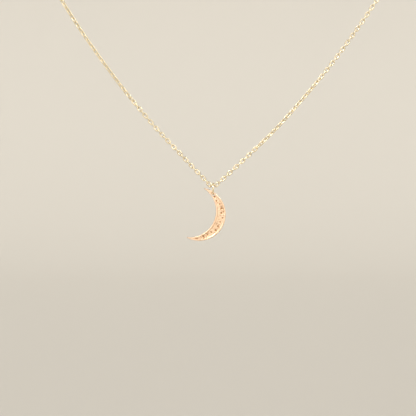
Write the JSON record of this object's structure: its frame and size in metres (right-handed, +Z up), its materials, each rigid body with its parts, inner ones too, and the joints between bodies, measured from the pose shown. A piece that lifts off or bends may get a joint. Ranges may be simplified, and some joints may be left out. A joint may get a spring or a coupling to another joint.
{
  "type": "pendant necklace",
  "caption": "Fine cable-chain necklace with a hammered crescent pendant on a jump ring, a lobster clasp and an extender ending in a small drop.",
  "frame": {"origin": "the nape point, on the centre line of the clasp and chain at the top of the loop, which a neck, bust or peg carries", "axes": "+Z up, the loop hangs in the X-Z plane, front of the pendant towards -Y, +X to the wearer's left as seen from the front"},
  "size_m": [0.1171, 0.0038, 0.1665],
  "materials": {
    "pale_gold": "bright pale gold plate",
    "rose_gold": "warm rose gold plate, hammered face between smooth edges",
    "spring_steel": "drawn spring wire"
  },
  "bodies": {
    "chain": {"chain_left": "pale_gold", "chain_right": "pale_gold", "centre_link": "pale_gold", "left_end_ring": "pale_gold", "hook_ring": "pale_gold", "right_end_ring": "pale_gold"},
    "bail": {"bail_ring": "pale_gold"},
    "pendant": {"crescent_pendant": "rose_gold"},
    "clasp": {"clasp_body": "pale_gold", "clasp_rivet": "pale_gold", "clasp_spring": "spring_steel"},
    "lever": {"clasp_lever": "pale_gold"},
    "extender_upper": {"extender_link_01": "pale_gold", "extender_link_02": "pale_gold", "extender_link_03": "pale_gold", "extender_link_04": "pale_gold", "extender_link_05": "pale_gold", "extender_link_06": "pale_gold", "extender_link_07": "pale_gold"},
    "extender_middle": {"extender_link_08": "pale_gold", "extender_link_09": "pale_gold", "extender_link_10": "pale_gold", "extender_link_11": "pale_gold", "extender_link_12": "pale_gold", "extender_link_13": "pale_gold", "extender_link_14": "pale_gold"},
    "extender_lower": {"extender_link_15": "pale_gold", "extender_link_16": "pale_gold", "extender_link_17": "pale_gold", "extender_link_18": "pale_gold", "extender_link_19": "pale_gold", "extender_link_20": "pale_gold"},
    "drop": {"drop_ring": "pale_gold", "end_drop": "rose_gold"}
  },
  "joints": [
    {"name": "bail_swing", "type": "hinge", "parent": "chain", "child": "bail", "pos_m": [-0.0016, 0, -0.14922], "axis": [1, 0, 0], "range_deg": [-75, 75]},
    {"name": "pendant_swing", "type": "hinge", "parent": "bail", "child": "pendant", "pos_m": [-0.0016, 0, -0.15072], "axis": [0, 1, 0], "range_deg": [-50, 16]},
    {"name": "clasp_roll", "type": "hinge", "parent": "chain", "child": "clasp", "pos_m": [-0.0015, 0, 0], "axis": [1, 0, 0], "range_deg": [-25, 25]},
    {"name": "lever_press", "type": "hinge", "parent": "clasp", "child": "lever", "pos_m": [-0.00175, 0, 0.00135], "axis": [0, 1, 0], "range_deg": [0, 25], "stiffness_Nm_per_rad": 0.002, "springref_deg": -5.73, "deforming": ["clasp_spring"]},
    {"name": "extender_swing", "type": "hinge", "parent": "chain", "child": "extender_upper", "pos_m": [0.00744, 0, -0.002], "axis": [1, 0, 0], "range_deg": [-60, 60]},
    {"name": "extender_bend_middle", "type": "hinge", "parent": "extender_upper", "child": "extender_middle", "pos_m": [0.00744, 0, -0.0191], "axis": [0, 1, 0], "range_deg": [-45, 45]},
    {"name": "extender_bend_lower", "type": "hinge", "parent": "extender_middle", "child": "extender_lower", "pos_m": [0.00744, 0, -0.03625], "axis": [1, 0, 0], "range_deg": [-45, 45]},
    {"name": "drop_swing", "type": "hinge", "parent": "extender_lower", "child": "drop", "pos_m": [0.00744, 0, -0.05095], "axis": [1, 0, 0], "range_deg": [-60, 60]}
  ]
}
